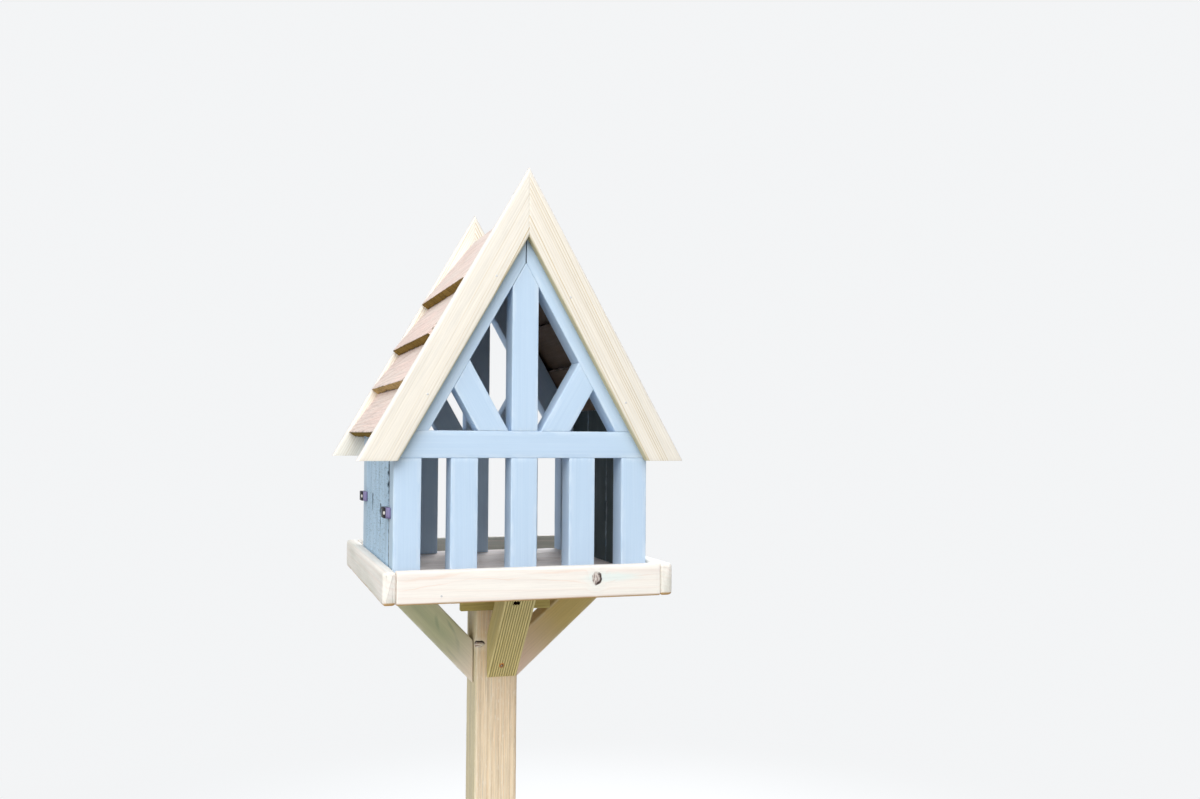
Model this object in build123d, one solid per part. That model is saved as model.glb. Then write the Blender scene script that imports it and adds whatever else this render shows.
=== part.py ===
from build123d import *
import math
import os

# Bird table: a square post on a cross of feet, a railed tray on four braces, and on the tray a small
# open-fronted house with framed gables, boarded sides and a steep roof of lapped boards.
# Millimetres, +X right, +Y back, +Z up. The origin is on the ground, on the axis of the post.

# Post, feet and braces
POST_SIZE = 78
POST_ARRIS_RADIUS = 5
UNDERSIDE_HEIGHT = 1165  # underside of the tray above the ground
FOOT_LENGTH = 700
FOOT_WIDTH = 78
FOOT_HEIGHT = 53
FOOT_CHAMFER = 15  # at the upper end of each foot
FOOT_ARRIS_RADIUS = 4
BRACE_WIDTH = 49
BRACE_DEPTH = 53
BRACE_ARRIS_RADIUS = 3
LEFT_BRACE_ANGLE = 46.5
LEFT_BRACE_HEIGHT = 183  # from its lower tip on the post up to the tray
RIGHT_BRACE_ANGLE = 41.5
RIGHT_BRACE_HEIGHT = 176
FRONT_BRACE_ANGLE = 49
FRONT_BRACE_HEIGHT = 172
FRONT_BRACE_WIDTH = 55
FRONT_BRACE_OFFSET = 9  # to the right of the post's axis
BASE_BRACE_ANGLE = 45
BASE_BRACE_HEIGHT = 175  # from the feet up to its upper tip on the post
CLEAT_LENGTH = 163
CLEAT_HEIGHT = 48
CLEAT_THICKNESS = 15
CLEAT_OFFSET = 13  # the cleats stand off centre, to the right

# Tray
TRAY_OFFSET = 3.5  # middle of the tray, to the right of the post's axis
RAIL_THICKNESS = 22
RAIL_HEIGHT = 53
RAIL_ARRIS_RADIUS = 4
TRAY_BOARD_THICKNESS = 17
TRAY_BOARD_COUNT = 5
TRAY_FRONT_MARGIN = 35  # clear floor before the house
TRAY_REAR_MARGIN = 66
TRAY_LEFT_MARGIN = 0.5
TRAY_RIGHT_MARGIN = 4.5
BOARD_GAP = 3

# House
HOUSE_WIDTH = 430
HOUSE_DEPTH = 413
HOUSE_BOARD_THICKNESS = 17.5
HOUSE_BOARD_COUNT = 4
STOCK = 45  # square timber of both frames
STOCK_ARRIS_RADIUS = 1.5
UPRIGHT_HEIGHT = 192
UPRIGHT_SPACING = 100
WALL_THICKNESS = 20
WALL_BOARD_WIDTH = 112  # upright boards, counted from the front, the last one cut to fit
WALL_BOARD_GAP = 0.5
BLOCK_LENGTH = 42
BLOCK_HEIGHT = 17.5
BLOCK_THICKNESS = 10
BLOCK_SLOPE_LENGTH = 16  # sloped end of a joining block, towards the front
BLOCK_END_THICKNESS = 4  # at the foot of that slope
FRONT_BLOCK_STAND_HEIGHT = 94  # underside of a front joining block above the house floor
REAR_BLOCK_STAND_HEIGHT = 104
BLOCK_CHAMFER = 0.8

# Gables and roof
ROOF_PITCH = 60.4
RAFTER_INSET = 4.5  # the rafters' heels stand in from the ends of the beam
STRUT_FOOT_OFFSET = 79  # outer corner of a strut's foot, from the centre line
BARGE_WIDTH = 57
BARGE_THICKNESS = 20
BARGE_ARRIS_RADIUS = 4
BARGE_STAND_HEIGHT = 32  # upper edge of a bargeboard above the rafters, square to the slope
BARGE_DROP_HEIGHT = 4  # tips of the bargeboards below the beam
ROOF_BOARD_WIDTH = 160
ROOF_BOARD_UPPER_THICKNESS = 9
ROOF_BOARD_LOWER_THICKNESS = 16
COURSE_LENGTHS = (216, 325, 411, 504)  # down the slope, from the apex to each course's lower edge
EAVES_LIFT_HEIGHT = 12  # the lowest boards lie this far off the rafters at their lower edge

SIN = math.sin(math.radians(ROOF_PITCH))
COS = math.cos(math.radians(ROOF_PITCH))
TAN = SIN / COS

half_width = HOUSE_WIDTH / 2
half_stock = STOCK / 2
beam_top = UPRIGHT_HEIGHT + STOCK
rafter_peak = beam_top + (half_width - RAFTER_INSET) * TAN
apex_height = rafter_peak + BARGE_STAND_HEIGHT / COS

tray_width = TRAY_LEFT_MARGIN + HOUSE_WIDTH + TRAY_RIGHT_MARGIN
tray_depth = TRAY_FRONT_MARGIN + HOUSE_DEPTH + TRAY_REAR_MARGIN
tray_floor_top = UNDERSIDE_HEIGHT + TRAY_BOARD_THICKNESS
house_floor_top = tray_floor_top + HOUSE_BOARD_THICKNESS
HOUSE = Pos(
    TRAY_OFFSET + TRAY_LEFT_MARGIN + half_width - tray_width / 2,
    TRAY_FRONT_MARGIN - tray_depth / 2,
    house_floor_top,
)


def block(x0, x1, y0, y1, z0, z1):
    """A plain box between two corners."""
    return Pos(x0, y0, z0) * Box(x1 - x0, y1 - y0, z1 - z0, align=(Align.MIN, Align.MIN, Align.MIN))


def ease(solid, direction, radius):
    """Round the edges that run along one direction."""
    return fillet(solid.edges().filter_by(Axis((0, 0, 0), direction)), radius)


def prism(points, y0, y1):
    """A solid with an outline of (x, z) points between two planes square to Y."""
    outline = make_face(Polyline(*[(x, y1, z) for x, z in points], close=True))
    return extrude(outline, amount=y1 - y0, dir=(0, -1, 0))


def mirrored(solid):
    """The same piece on the left of the house's centre line."""
    return mirror(solid, about=Plane.YZ)


def save(name, *solids):
    """Write one node, from one solid or from several that stand apart."""
    shape = solids[0] if len(solids) == 1 else Compound(children=list(solids))
    export_step(shape, f"parts/{name}.step")


# Post, feet and braces


def brace(azimuth, angle, height, seat, tip, width=BRACE_WIDTH, offset=0):
    """A diagonal brace from a tip on the post to a level face at height seat."""
    lean = math.radians(angle)
    up = 1 if seat > tip else -1
    reach = height / math.tan(lean)
    face = POST_SIZE / 2
    points = [
        (face, tip),
        (face + reach, seat),
        (face + reach - BRACE_DEPTH / math.sin(lean), seat),
        (face, tip + up * BRACE_DEPTH / math.cos(lean)),
    ]
    solid = prism(points, -width / 2, width / 2)
    solid = ease(solid, (math.cos(lean), 0, up * math.sin(lean)), BRACE_ARRIS_RADIUS)
    return Pos(offset, 0, 0) * Rot(0, 0, azimuth) * solid


def foot():
    """One foot, along X, with its upper end edges cut off."""
    half = FOOT_LENGTH / 2
    shoulder = FOOT_HEIGHT - FOOT_CHAMFER
    outline = [
        (-half, 0),
        (half, 0),
        (half, shoulder),
        (half - FOOT_CHAMFER, FOOT_HEIGHT),
        (FOOT_CHAMFER - half, FOOT_HEIGHT),
        (-half, shoulder),
    ]
    return ease(prism(outline, -FOOT_WIDTH / 2, FOOT_WIDTH / 2), (1, 0, 0), FOOT_ARRIS_RADIUS)


def make_stand():
    half_post = POST_SIZE / 2
    post = block(-half_post, half_post, -half_post, half_post, FOOT_HEIGHT, UNDERSIDE_HEIGHT)
    save("post", ease(post, (0, 0, 1), POST_ARRIS_RADIUS))

    half_foot = FOOT_WIDTH / 2
    halving = block(-half_foot, half_foot, -half_foot, half_foot, 0, FOOT_HEIGHT / 2)
    save("foot_across", foot() - Pos(0, 0, FOOT_HEIGHT / 2) * halving)
    save("foot_along", Rot(0, 0, 90) * foot() - halving)

    front = (FRONT_BRACE_ANGLE, FRONT_BRACE_HEIGHT, FRONT_BRACE_WIDTH, FRONT_BRACE_OFFSET)
    tray_braces = {
        "brace_right": (0, RIGHT_BRACE_ANGLE, RIGHT_BRACE_HEIGHT, BRACE_WIDTH, 0),
        "brace_rear": (90, *front),
        "brace_left": (180, LEFT_BRACE_ANGLE, LEFT_BRACE_HEIGHT, BRACE_WIDTH, 0),
        "brace_front": (270, *front),
    }
    for name, (azimuth, angle, height, width, offset) in tray_braces.items():
        tip = UNDERSIDE_HEIGHT - height
        save(name, brace(azimuth, angle, height, UNDERSIDE_HEIGHT, tip, width, offset))
    base_brace = brace(0, BASE_BRACE_ANGLE, BASE_BRACE_HEIGHT, FOOT_HEIGHT, FOOT_HEIGHT + BASE_BRACE_HEIGHT)
    save("base_braces", *[Rot(0, 0, azimuth) * base_brace for azimuth in (0, 90, 180, 270)])

    x0 = CLEAT_OFFSET - CLEAT_LENGTH / 2
    z0 = UNDERSIDE_HEIGHT - CLEAT_HEIGHT
    front = block(x0, x0 + CLEAT_LENGTH, -half_post - CLEAT_THICKNESS, -half_post, z0, UNDERSIDE_HEIGHT)
    rear = block(x0, x0 + CLEAT_LENGTH, half_post, half_post + CLEAT_THICKNESS, z0, UNDERSIDE_HEIGHT)
    save("head_cleats", front, rear)


# Tray: the front and rear rails stand between the side rails, and the floor lies inside all four


def make_tray():
    x0 = TRAY_OFFSET - tray_width / 2
    x1 = TRAY_OFFSET + tray_width / 2
    half_y = tray_depth / 2
    end_y = half_y + RAIL_THICKNESS
    z0 = UNDERSIDE_HEIGHT
    z1 = UNDERSIDE_HEIGHT + RAIL_HEIGHT
    save("tray_rail_front", ease(block(x0, x1, -end_y, -half_y, z0, z1), (1, 0, 0), RAIL_ARRIS_RADIUS))
    save("tray_rail_rear", ease(block(x0, x1, half_y, end_y, z0, z1), (1, 0, 0), RAIL_ARRIS_RADIUS))
    for side, outer_x in (("left", x0 - RAIL_THICKNESS), ("right", x1)):
        rail = block(outer_x, outer_x + RAIL_THICKNESS, -end_y, end_y, z0, z1)
        save(f"tray_rail_{side}", fillet(rail.edges(), RAIL_ARRIS_RADIUS))
    save("tray_floor", *floor_boards(x0, x1, -half_y, half_y, TRAY_BOARD_COUNT, z0, tray_floor_top))


def floor_boards(x0, x1, y0, y1, count, z0, z1):
    """Boards that run from side to side, with a gap between each pair."""
    width = (y1 - y0 + BOARD_GAP) / count - BOARD_GAP
    fronts = [y0 + i * (width + BOARD_GAP) for i in range(count)]
    return [block(x0, x1, front, front + width, z0, z1) for front in fronts]


# House, in its own frame: centred in x, front face at y = 0, top of its floor at z = 0


def make_house_floor():
    z0 = -HOUSE_BOARD_THICKNESS
    boards = floor_boards(-half_width, half_width, 0, HOUSE_DEPTH, HOUSE_BOARD_COUNT, z0, 0)
    save("house_floor", *[HOUSE * board for board in boards])


def make_frame(end, y0):
    """One gable frame: posts and uprights, beam, king post, struts and rafters."""
    y1 = y0 + STOCK

    def upright(x):
        solid = block(x - half_stock, x + half_stock, y0, y1, 0, UPRIGHT_HEIGHT)
        return ease(solid, (0, 0, 1), STOCK_ARRIS_RADIUS)

    corner = half_width - half_stock
    save(f"{end}_corner_posts", *[HOUSE * upright(x) for x in (-corner, corner)])
    save(f"{end}_uprights", *[HOUSE * upright(x) for x in (-UPRIGHT_SPACING, 0, UPRIGHT_SPACING)])

    beam = block(-half_width, half_width, y0, y1, UPRIGHT_HEIGHT, beam_top)
    save(f"{end}_beam", HOUSE * ease(beam, (1, 0, 0), STOCK_ARRIS_RADIUS))

    inner_peak = rafter_peak - STOCK / COS
    shoulder = inner_peak - half_stock * TAN
    outline = [
        (-half_stock, beam_top),
        (half_stock, beam_top),
        (half_stock, shoulder),
        (0, inner_peak),
        (-half_stock, shoulder),
    ]
    save(f"{end}_king_post", HOUSE * ease(prism(outline, y0, y1), (0, 0, 1), STOCK_ARRIS_RADIUS))

    outer_heel = (rafter_peak - beam_top) / TAN
    inner_heel = (inner_peak - beam_top) / TAN
    outline = [(0, inner_peak), (inner_heel, beam_top), (outer_heel, beam_top), (0, rafter_peak)]
    rafter = ease(prism(outline, y0, y1), (COS, 0, -SIN), STOCK_ARRIS_RADIUS)
    save(f"{end}_rafter_right", HOUSE * rafter)
    save(f"{end}_rafter_left", HOUSE * mirrored(rafter))

    def under_rafter(foot):
        """Where a strut's edge from (foot, beam_top) meets the rafter."""
        x = (inner_heel + foot) / 2
        return (x, beam_top + (x - foot) * TAN)

    outer_foot = STRUT_FOOT_OFFSET
    inner_foot = outer_foot - STOCK / SIN
    feet = [(inner_foot, beam_top), (outer_foot, beam_top)]
    outline = feet + [under_rafter(outer_foot), under_rafter(inner_foot)]
    strut = ease(prism(outline, y0, y1), (COS, 0, SIN), STOCK_ARRIS_RADIUS)
    save(f"{end}_struts", HOUSE * strut, HOUSE * mirrored(strut))


def slope(s, d):
    """(x, z) on the right slope, s down it from the apex and d square below the bargeboard's edge."""
    return (s * COS - d * SIN, apex_height - s * SIN - d * COS)


def make_bargeboards():
    tip = UPRIGHT_HEIGHT - BARGE_DROP_HEIGHT
    outer_tip = (apex_height - tip) / TAN
    inner_apex = apex_height - BARGE_WIDTH / COS
    inner_tip = (inner_apex - tip) / TAN
    points = [(0, inner_apex), (inner_tip, tip), (outer_tip, tip), (0, apex_height)]
    for end, y0 in (("front", -BARGE_THICKNESS), ("rear", HOUSE_DEPTH)):
        board = ease(prism(points, y0, y0 + BARGE_THICKNESS), (COS, 0, -SIN), BARGE_ARRIS_RADIUS)
        save(f"bargeboard_{end}_right", HOUSE * board)
        save(f"bargeboard_{end}_left", HOUSE * mirrored(board))


def roof_sections():
    """Sections of the courses, from the eaves up: upper and lower end of each face, as (s, d) points."""
    sections = []
    depth = BARGE_STAND_HEIGHT - EAVES_LIFT_HEIGHT
    for end in reversed(COURSE_LENGTHS):
        if sections:
            (s0, d0), (s1, d1) = sections[-1]["outer"]
            depth = d0 + (d1 - d0) * (end - s0) / (s1 - s0)
        rise = BARGE_STAND_HEIGHT - depth
        run = math.sqrt(ROOF_BOARD_WIDTH**2 - rise**2)
        start = end - run
        square = Vector(-rise, -run) / ROOF_BOARD_WIDTH
        upper = Vector(start, BARGE_STAND_HEIGHT) + square * ROOF_BOARD_UPPER_THICKNESS
        lower = Vector(end, depth) + square * ROOF_BOARD_LOWER_THICKNESS
        sections.append(
            {
                "inner": ((start, BARGE_STAND_HEIGHT), (end, depth)),
                "outer": ((upper.X, upper.Y), (lower.X, lower.Y)),
            }
        )
    return sections


def make_roof():
    """Tapered boards, each lapped over the upper edge of the next one down."""
    sections = roof_sections()
    for course, section in enumerate(sections, start=1):
        inner_upper, inner_lower = section["inner"]
        outer_upper, outer_lower = section["outer"]
        outline = [slope(*point) for point in (inner_upper, inner_lower, outer_lower, outer_upper)]
        board = prism(outline, 0, HOUSE_DEPTH)
        if section is sections[-1]:
            board = split(board, bisect_by=Plane.YZ, keep=Keep.TOP)
        save(f"roof_board_right_{course}", HOUSE * board)
        save(f"roof_board_left_{course}", HOUSE * mirrored(board))


def wall_top(x):
    """Height of the lowest roof board's underside over a point of the wall."""
    (s0, d0), (s1, d1) = roof_sections()[0]["inner"]
    x0, z0 = slope(s0, d0)
    x1, z1 = slope(s1, d1)
    return z0 + (z1 - z0) * (x - x0) / (x1 - x0)


def make_walls():
    """Upright boards between the corner posts, cut to the slope of the roof at the top."""
    inner = half_width - WALL_THICKNESS
    outline = [(inner, 0), (half_width, 0), (half_width, wall_top(half_width)), (inner, wall_top(inner))]
    boards = []
    y0 = STOCK
    while y0 < HOUSE_DEPTH - STOCK:
        y1 = min(y0 + WALL_BOARD_WIDTH, HOUSE_DEPTH - STOCK)
        boards.append(prism(outline, y0, y1))
        y0 = y1 + WALL_BOARD_GAP
    save("side_wall_right", *[HOUSE * board for board in boards])
    save("side_wall_left", *[HOUSE * mirrored(board) for board in boards])


def make_joining_blocks():
    """Small moulded blocks over the joint between each corner post and its wall."""
    half_length = BLOCK_LENGTH / 2
    outline = [
        (half_width, -half_length),
        (half_width + BLOCK_END_THICKNESS, -half_length),
        (half_width + BLOCK_THICKNESS, BLOCK_SLOPE_LENGTH - half_length),
        (half_width + BLOCK_THICKNESS, half_length),
        (half_width, half_length),
    ]
    shape = extrude(make_face(Polyline(*outline, close=True)), amount=BLOCK_HEIGHT, dir=(0, 0, 1))
    back = shape.faces().sort_by(Axis.X)[0]
    shape = chamfer(shape.edges() - back.edges(), BLOCK_CHAMFER)
    front = Pos(0, STOCK, FRONT_BLOCK_STAND_HEIGHT) * shape
    rear = Pos(0, HOUSE_DEPTH - STOCK, REAR_BLOCK_STAND_HEIGHT) * shape
    save("joining_blocks_right", HOUSE * front, HOUSE * rear)
    save("joining_blocks_left", HOUSE * mirrored(front), HOUSE * mirrored(rear))


os.makedirs("parts", exist_ok=True)
make_stand()
make_tray()
make_house_floor()
make_frame("front", 0)
make_frame("rear", HOUSE_DEPTH - STOCK)
make_bargeboards()
make_roof()
make_walls()
make_joining_blocks()
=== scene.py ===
import math

import bmesh
import bpy
from mathutils import Matrix, Vector, noise

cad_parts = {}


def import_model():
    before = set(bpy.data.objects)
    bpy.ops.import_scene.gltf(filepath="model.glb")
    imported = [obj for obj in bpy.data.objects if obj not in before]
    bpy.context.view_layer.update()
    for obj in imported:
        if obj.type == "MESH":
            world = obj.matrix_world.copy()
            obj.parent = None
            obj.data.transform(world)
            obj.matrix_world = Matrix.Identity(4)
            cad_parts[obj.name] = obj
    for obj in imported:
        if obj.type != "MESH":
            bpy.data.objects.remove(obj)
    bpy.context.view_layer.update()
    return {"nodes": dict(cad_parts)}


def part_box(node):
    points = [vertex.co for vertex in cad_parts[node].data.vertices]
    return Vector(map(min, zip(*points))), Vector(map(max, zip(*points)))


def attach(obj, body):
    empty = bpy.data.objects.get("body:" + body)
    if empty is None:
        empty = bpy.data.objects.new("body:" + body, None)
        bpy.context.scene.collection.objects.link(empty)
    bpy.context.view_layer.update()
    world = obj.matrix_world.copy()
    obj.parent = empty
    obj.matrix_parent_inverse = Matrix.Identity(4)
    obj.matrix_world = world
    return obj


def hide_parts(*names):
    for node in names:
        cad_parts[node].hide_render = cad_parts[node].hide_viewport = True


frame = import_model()

# A bird table in painted and bare softwood. Everything is in metres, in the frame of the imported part:
# +X right seen from the open front, +Y towards the rear gable, +Z up.

# Photograph and camera
IMAGE_WIDTH = 1200
FOCAL_PIXELS = 1119.3
SENSOR_WIDTH = 36
CAMERA_PLACE = (-0.4609, -2.0197, 1.4306)
CAMERA_YAW = 0.31863
CAMERA_PITCH = 0.03175
CAMERA_ROLL = 0.00659

# Sizes of timber that a node's box alone does not give
BARGE_WIDTH = 0.057
BRACE_DEPTH = 0.053
BOARD_GAP = 0.003
WALL_BOARD = 0.112
WALL_GAP = 0.0005
TRAY_BOARDS = 5
HOUSE_BOARDS = 4
PALE_COURSE = 2
TOP_COURSE = 4
MITRE_GAP = 0.0008
BRACE_GAP = 0.0008

# Reeding machined into the outer face of the braces
REED_PITCH = 0.0044
REED_DEPTH = 0.0013
REED_POINTS = 8

# Fastenings: places down the bargeboards from the apex, and in from their outer edge
NAIL_RADIUS = 0.0017
BARGE_NAILS = {"left": (0.186, 0.410), "right": (0.220, 0.420)}
BARGE_NAIL_INSET = 0.043
RAIL_NAIL = (0.0695, 0.0131)
BRACE_SCREW = (0.0353, 0.0048)
SCREW_RADIUS = 0.0016
SCREW_DEPTH = 0.0008
SCREW_DROP = 0.0022

# Heads: how far the middle stands proud, how fast it falls, and its recess's depth, half width and reach
NAIL_HEAD = {"proud": 0.0004, "fall": 60}
PAN_HEAD = {"proud": 0.0014, "fall": 90, "recess": 0.0008, "half_width": 0.0004, "reach": 0.0026}
CROSS_HEAD = {"proud": 0.0003, "recess": 0.0012, "half_width": 0.00045, "cross": True}

# The hole of a brace's screw and the torn wood round it
HOLE_RADIUS = 0.0037
HOLE_STRETCH = 1.5
HOLE_DEPTH = 0.0045
HOLE_FOCUS = 2.2 * HOLE_RADIUS
# CUT_MARGIN spreads the near-black painted shade of the hole and slot a little past their edges.
CUT_MARGIN = 0.0007
TORN_RADIUS = 0.0044
TORN_INNER = 0.0028
TORN_FALL = 0.0012
TORN_HEIGHT = 0.0005

# A slot cut in the front brace close under the tray: middle up the brace and across it, half sizes, depth
BRACE_SLOT = (0.2014, 0.0057, 0.0037, 0.0054, 0.007)

# Knots: middle along, across and through the grain, radii, and the direction of the darker side
RAIL_KNOT = ((0.324, 0.0325, 0.0), (0.0082, 0.0106, 0.02), (0.9, -0.4, 0.0))
RAIL_STAIN = ((0.349, 0.0335, 0.0), (0.060, 0.0095, 0.02))
RAIL_KNOT_FOCUS = 0.0164
POST_KNOT = ((1.002, 0.0, -0.007), (0.0060, 0.012, 0.011), (0.95, 0.2, 0.0))
POST_KNOT_DEPTH = 0.0028
POST_KNOT_RAISED = 0.0006
POST_KNOT_FOCUS = 0.014
KNOT_RAGGED = 0.005

# Cracks of a side wall: from and to up the board, reach from its edge, and depth
WALL_CRACKS = ((0.070, 0.112, 0.0092, 0.0020), (0.090, 0.124, 0.0092, 0.0020))
CORNER_CRACK = (0.112, 0.270, 0.025, 0.0028)
CORNER_JOINT = (0.0, 0.118, 0.0095, 0.0010)
CRACK_DARK = 0.0008
TEAR_REACH = 0.012

# Streaks in the left brace and the front rail: middle along and across, angle to the grain, half length and
# half width
BRACE_STREAKS = ((0.127, 0.029, 0.52, 0.021, 0.0038), (0.104, 0.041, 0.26, 0.022, 0.0034),
                 (0.074, 0.028, 0.48, 0.024, 0.0040), (0.062, 0.010, 0.10, 0.032, 0.0036))
RAIL_STREAKS = ((0.056, 0.043, 0.085, 0.075, 0.0040), (0.045, 0.029, 0.147, 0.060, 0.0014),
                (0.150, 0.037, 0.020, 0.070, 0.0012), (0.260, 0.0314, -0.105, 0.062, 0.0014),
                (0.353, 0.0280, 0.323, 0.016, 0.0014), (0.398, 0.0336, 0.037, 0.036, 0.0012),
                (0.262, 0.0450, 0.010, 0.070, 0.0030))
STREAK_WAVE = 0.010

# Joining blocks: outline as shares of the length and the thickness, and how far along the screw sits
BLOCK_LENGTH = 0.042
BLOCK_HEIGHT = 0.0175
BLOCK_PROFILE = ((0.0, 0.0), (0.0, 0.4), (0.20, 0.716), (0.38, 1.0), (1.0, 1.0), (1.0, 0.0))
BLOCK_ARRIS = 0.0009
BLOCK_SCREW = 0.30
BLOCK_SCREW_RADIUS = 0.0029

# Arrises, eased ends and the density of the meshes
PLANED_ARRIS = 0.0016
RAIL_ARRIS = 0.0045
SIDE_RAIL_ARRIS = 0.006
BARGE_ARRIS = 0.0045
POST_ARRIS = 0.005
BRACE_ARRIS = 0.003
SAWN_ARRIS = 0.0009
ARC_STEPS = 4
END_EASE = 0.0005
BARGE_END_EASE = 0.0002
BRACE_END_EASE = 0.0022
RAIL_END_EASE = 0.0014
EASE_RINGS = 3
EDGE_FADE = 0.004
FOCUS_STRIDE = 0.0012
SHARP_ANGLE = math.radians(38)

# Studio. Lamps: name, place, what they point at, size and watts
BACKDROP = (0.90, 0.91, 0.92)
FLOOR_SEEN = (0.86, 0.87, 0.88)
FLOOR_BOUNCE = (0.45, 0.45, 0.44)
FLOOR_FADE = (1.2, 3.4)
FLOOR_HALF = 30.0
FLOOR_DROP = 0.0005
SKY = (0.93, 0.97, 1.0)
SKY_STRENGTH = 0.42
LAMPS = (("key", (-0.75, -3.5, 4.3), (0, 0, 1.3), (3.4, 3.4), 164),
         ("left", (-3.6, -2.0, 2.9), (0, 0, 1.3), (4.0, 4.0), 80),
         ("rear", (1.6, 3.4, 2.7), (0, 0.1, 1.2), (1.8, 1.6), 105))

X = Vector((1, 0, 0))
Y = Vector((0, 1, 0))
Z = Vector((0, 0, 1))
SIDES = (("left", -1), ("right", 1))

# Looks. Each wood has the colours of its early wood, late wood and blotches, and other values where they
# differ from WOOD. "cut" colours sawn-off, cracked and drilled faces, "inner" the faces turned inward or
# down, and "foot" is a tint at the start of the grain with its reach and strength. Much of "cut" and "inner"
# is painted light: painted shade in holes, slots and cracks, on undersides and on left faces, and a painted
# highlight on the bargeboards' outer edge. LATE_WOOD is how dark a growth ring is from its inner edge to its
# outer one.
SHINE = 0.3
LATE_WOOD = ((0.0, 0.0), (0.5, 0.10), (0.88, 1.0), (1.0, 0.0))
KNOT_CRACK = (0.05, 0.03, 0.025)
# Arris tints of bare wood: a painted highlight, and a painted shadow where a look's edge is below 0.
ARRIS_PAINTED_HIGHLIGHT = (0.95, 0.9, 0.8)
ARRIS_PAINTED_SHADOW = (0.12, 0.09, 0.05)
GRAIN = {"wander": 0.006, "lean": 0.03, "patch": 0.0, "vary": 0.45, "cut": None, "inner": None}
WOOD = {**GRAIN, "ring": 0.0042, "pith": (0.02, -0.09), "knot_push": 1.6, "order": "xyz", "contrast": 0.5,
        "fibre": 0.10, "blotch": 0.35, "stripe": 0.0, "speck": 0.0, "saw": 0.0, "cut_marks": 0.0, "edge": 0.0,
        "bump": 0.35, "roughness": 0.62, "knots": (), "streaks": (), "streak_strength": 0.6, "stain": None,
        "foot": None}

# CREAM's cut colour is a painted highlight on the bargeboards' outer edge, and its inner colour is painted
# shade on their inner edge.
CREAM = {"early": (0.87, 0.82, 0.735), "late": (0.56, 0.42, 0.20), "tone": (0.88, 0.80, 0.68), "blotch": 0.3,
         "fibre": 0.09, "patch": 0.75, "vary": 0.2, "cut": (0.96, 0.91, 0.86), "inner": (0.58, 0.51, 0.31)}
BARGEBOARDS = {"left": {**CREAM, "pith": (-0.10, -0.05), "ring": 0.0036, "contrast": 1.1},
               "right": {**CREAM, "pith": (-0.14, 0.03), "contrast": 1.2}}
# The rear bargeboards take a paler early wood: painted light that offsets the roof boards' shadow on them.
REAR_CREAM_PAINTED_LIGHT = {"early": (0.95, 0.91, 0.82)}

# RAIL's inner colour, a darker orange, is painted shade on the rails' downward faces.
RAIL = {"early": (0.95, 0.90, 0.83), "late": (0.84, 0.66, 0.56), "tone": (0.56, 0.58, 0.49), "ring": 0.0085,
        "contrast": 0.30, "pith": (-0.03, 0.07), "blotch": 0.45, "fibre": 0.06, "wander": 0.012,
        "knot_push": 1.8, "inner": (0.62, 0.36, 0.13)}
FRONT_RAIL = {**RAIL, "order": "xzy", "tone": (0.95, 0.85, 0.79), "streaks": RAIL_STREAKS,
              "streak": (0.86, 0.62, 0.48), "streak_strength": 0.35, "stain": RAIL_STAIN,
              "halo": (0.82, 0.89, 0.85), "halo_strength": 0.3, "knots": (RAIL_KNOT,),
              "knot_dark": (0.26, 0.17, 0.15), "knot_pale": (0.70, 0.62, 0.57)}
# The rear rail is the pale rail painted darker, painted shade from the house; its foot fades back to the pale
# rail over its first 90 mm from the left end.
REAR_RAIL_PAINTED_SHADE = {**RAIL, "order": "xzy", "early": (0.42, 0.39, 0.32), "foot": (RAIL["early"], 0.09, 0.95)}

# ROOF's inner colour is painted shade under the boards, and its edge below 0 a painted shadow along the
# arrises; its cut colour is the sawn butts' own.
ROOF = {"early": (0.91, 0.775, 0.705), "late": (0.62, 0.42, 0.33), "tone": (0.92, 0.71, 0.64), "ring": 0.0055,
        "blotch": 0.7, "fibre": 0.15, "bump": 0.5, "roughness": 0.72, "wander": 0.004, "vary": 0.25,
        "edge": -0.9, "saw": 0.03, "cut": (0.36, 0.235, 0.07), "cut_marks": 0.5, "inner": (0.22, 0.14, 0.09),
        "speck": 0.35, "speck_tone": (0.36, 0.22, 0.14)}
COURSES = {PALE_COURSE: {"cut": (0.68, 0.48, 0.22)}, TOP_COURSE: {"edge": -0.3}}
FLOOR = {"early": (0.97, 0.88, 0.84), "late": (0.70, 0.55, 0.49), "tone": (0.90, 0.76, 0.71), "ring": 0.005,
         "blotch": 0.6, "fibre": 0.2, "bump": 0.6, "roughness": 0.75}

# BRACE's inner colour is painted shade in the reeding's grooves and on the front brace's left face; its
# near-black cut colour is painted shade in the screw hole and the slot.
BRACE = {"early": (0.92, 0.78, 0.37), "late": (0.50, 0.39, 0.13), "tone": (0.58, 0.57, 0.30), "blotch": 0.45,
         "fibre": 0.14, "pith": (-0.05, 0.06), "inner": (0.34, 0.27, 0.09), "cut": (0.010, 0.003, 0.002)}
RIGHT_BRACE = {**BRACE, "early": (0.74, 0.56, 0.21), "contrast": 0.15, "blotch": 0.15, "fibre": 0.07,
               "edge": 0.35, "foot": ((1.0, 0.78, 0.67), 0.15, 0.95)}
LEFT_BRACE = {**BRACE, "early": (0.66, 0.66, 0.43), "late": (0.36, 0.43, 0.26), "tone": (0.44, 0.50, 0.29),
              "ring": 0.030, "wander": 0.035, "contrast": 0.3, "blotch": 0.5, "fibre": 0.06, "edge": 0.35,
              "foot": ((0.92, 0.78, 0.66), 0.12, 0.9), "streaks": BRACE_STREAKS, "streak": (0.36, 0.43, 0.26)}
CLEAT = {**BRACE, "early": (0.62, 0.52, 0.18), "late": (0.38, 0.28, 0.08), "tone": (0.38, 0.28, 0.08)}
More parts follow.
